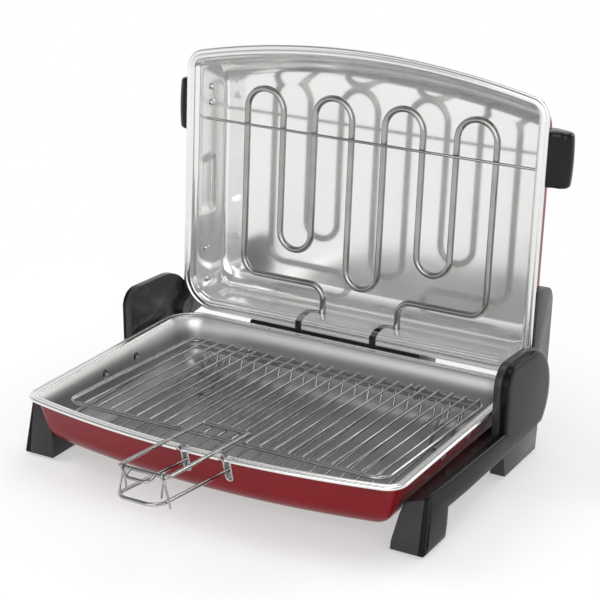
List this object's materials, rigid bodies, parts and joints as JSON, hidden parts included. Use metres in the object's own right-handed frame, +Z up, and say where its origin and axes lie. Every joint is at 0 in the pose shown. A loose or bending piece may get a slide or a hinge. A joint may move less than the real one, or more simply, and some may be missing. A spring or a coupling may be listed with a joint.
{
  "type": "electric kebab grill",
  "caption": "Electric table grill with a pan on side frames, a hinged lid that carries the heating element, and a hinged wire basket with a long handle.",
  "frame": {"origin": "on the table, under the middle of the grill's box as it stands with the lid open", "axes": "+X to the grill's right as seen from the front, +Y to the back, +Z up"},
  "size_m": [0.46, 0.4904, 0.3862],
  "materials": {
    "red_sheet": "gloss red outside, bare satin inside",
    "black_plastic": "satin moulded",
    "gloss_black": "gloss moulded",
    "steel": "satin",
    "chrome_wire": "bright plated",
    "element_steel": "satin tube",
    "rubber": "matt",
    "ceramic": "matt fired",
    "lead_cover": "woven sleeve"
  },
  "bodies": {
    "base": {"pan": "red_sheet", "pan_studs": "steel", "left_side_frame": "black_plastic", "right_side_frame": "black_plastic", "left_hinge_cover": "black_plastic", "right_hinge_cover": "black_plastic", "left_rear_foot": "black_plastic", "right_rear_foot": "black_plastic", "rear_foot_screws": "steel", "foot_pads": "rubber", "left_hinge_pin": "steel", "right_hinge_pin": "steel", "hinge_cover_screws": "steel"},
    "lid": {"lid_shell": "red_sheet", "heating_element": "element_steel", "element_support_rod": "steel", "left_lid_handle": "gloss_black", "right_lid_handle": "gloss_black", "handle_screws": "steel", "left_lid_arm": "black_plastic", "right_lid_arm": "black_plastic", "arm_screws": "steel", "left_hinge_bush": "steel", "right_hinge_bush": "steel", "terminal_box": "black_plastic", "terminal_box_cover": "black_plastic", "box_screws": "steel", "ceramic_bushes": "ceramic", "element_terminals": "steel", "terminal_leads": "lead_cover", "earth_tag": "steel", "cord_gland": "rubber"},
    "basket": {"lower_frame": "chrome_wire", "lower_grid_wires": "chrome_wire", "lower_handle": "chrome_wire", "basket_legs": "chrome_wire", "hinge_rings": "chrome_wire"},
    "upper_grid": {"upper_frame": "chrome_wire", "upper_grid_wires": "chrome_wire", "upper_handle": "chrome_wire"},
    "left_clip": {"left_handle_clip": "chrome_wire"},
    "right_clip": {"right_handle_clip": "chrome_wire"}
  },
  "joints": [
    {"name": "lid_hinge", "type": "hinge", "parent": "base", "child": "lid", "pos_m": [0, 0.17172, 0.075], "axis": [-1, 0, 0], "range_deg": [-91.3, 0]},
    {"name": "basket_lift", "type": "slide", "parent": "base", "child": "basket", "axis": [0, 0, 1], "range_m": [0, 0.06]},
    {"name": "upper_grid_hinge", "type": "hinge", "parent": "basket", "child": "upper_grid", "pos_m": [0.0145, 0.11272, 0.0665], "axis": [-1, 0, 0], "range_deg": [0, 88]},
    {"name": "left_clip_hinge", "type": "hinge", "parent": "upper_grid", "child": "left_clip", "pos_m": [0.0145, -0.23028, 0.094], "axis": [-1, 0, 0], "range_deg": [0, 100]},
    {"name": "right_clip_hinge", "type": "hinge", "parent": "upper_grid", "child": "right_clip", "pos_m": [0.0145, -0.23028, 0.094], "axis": [-1, 0, 0], "range_deg": [0, 100]}
  ]
}
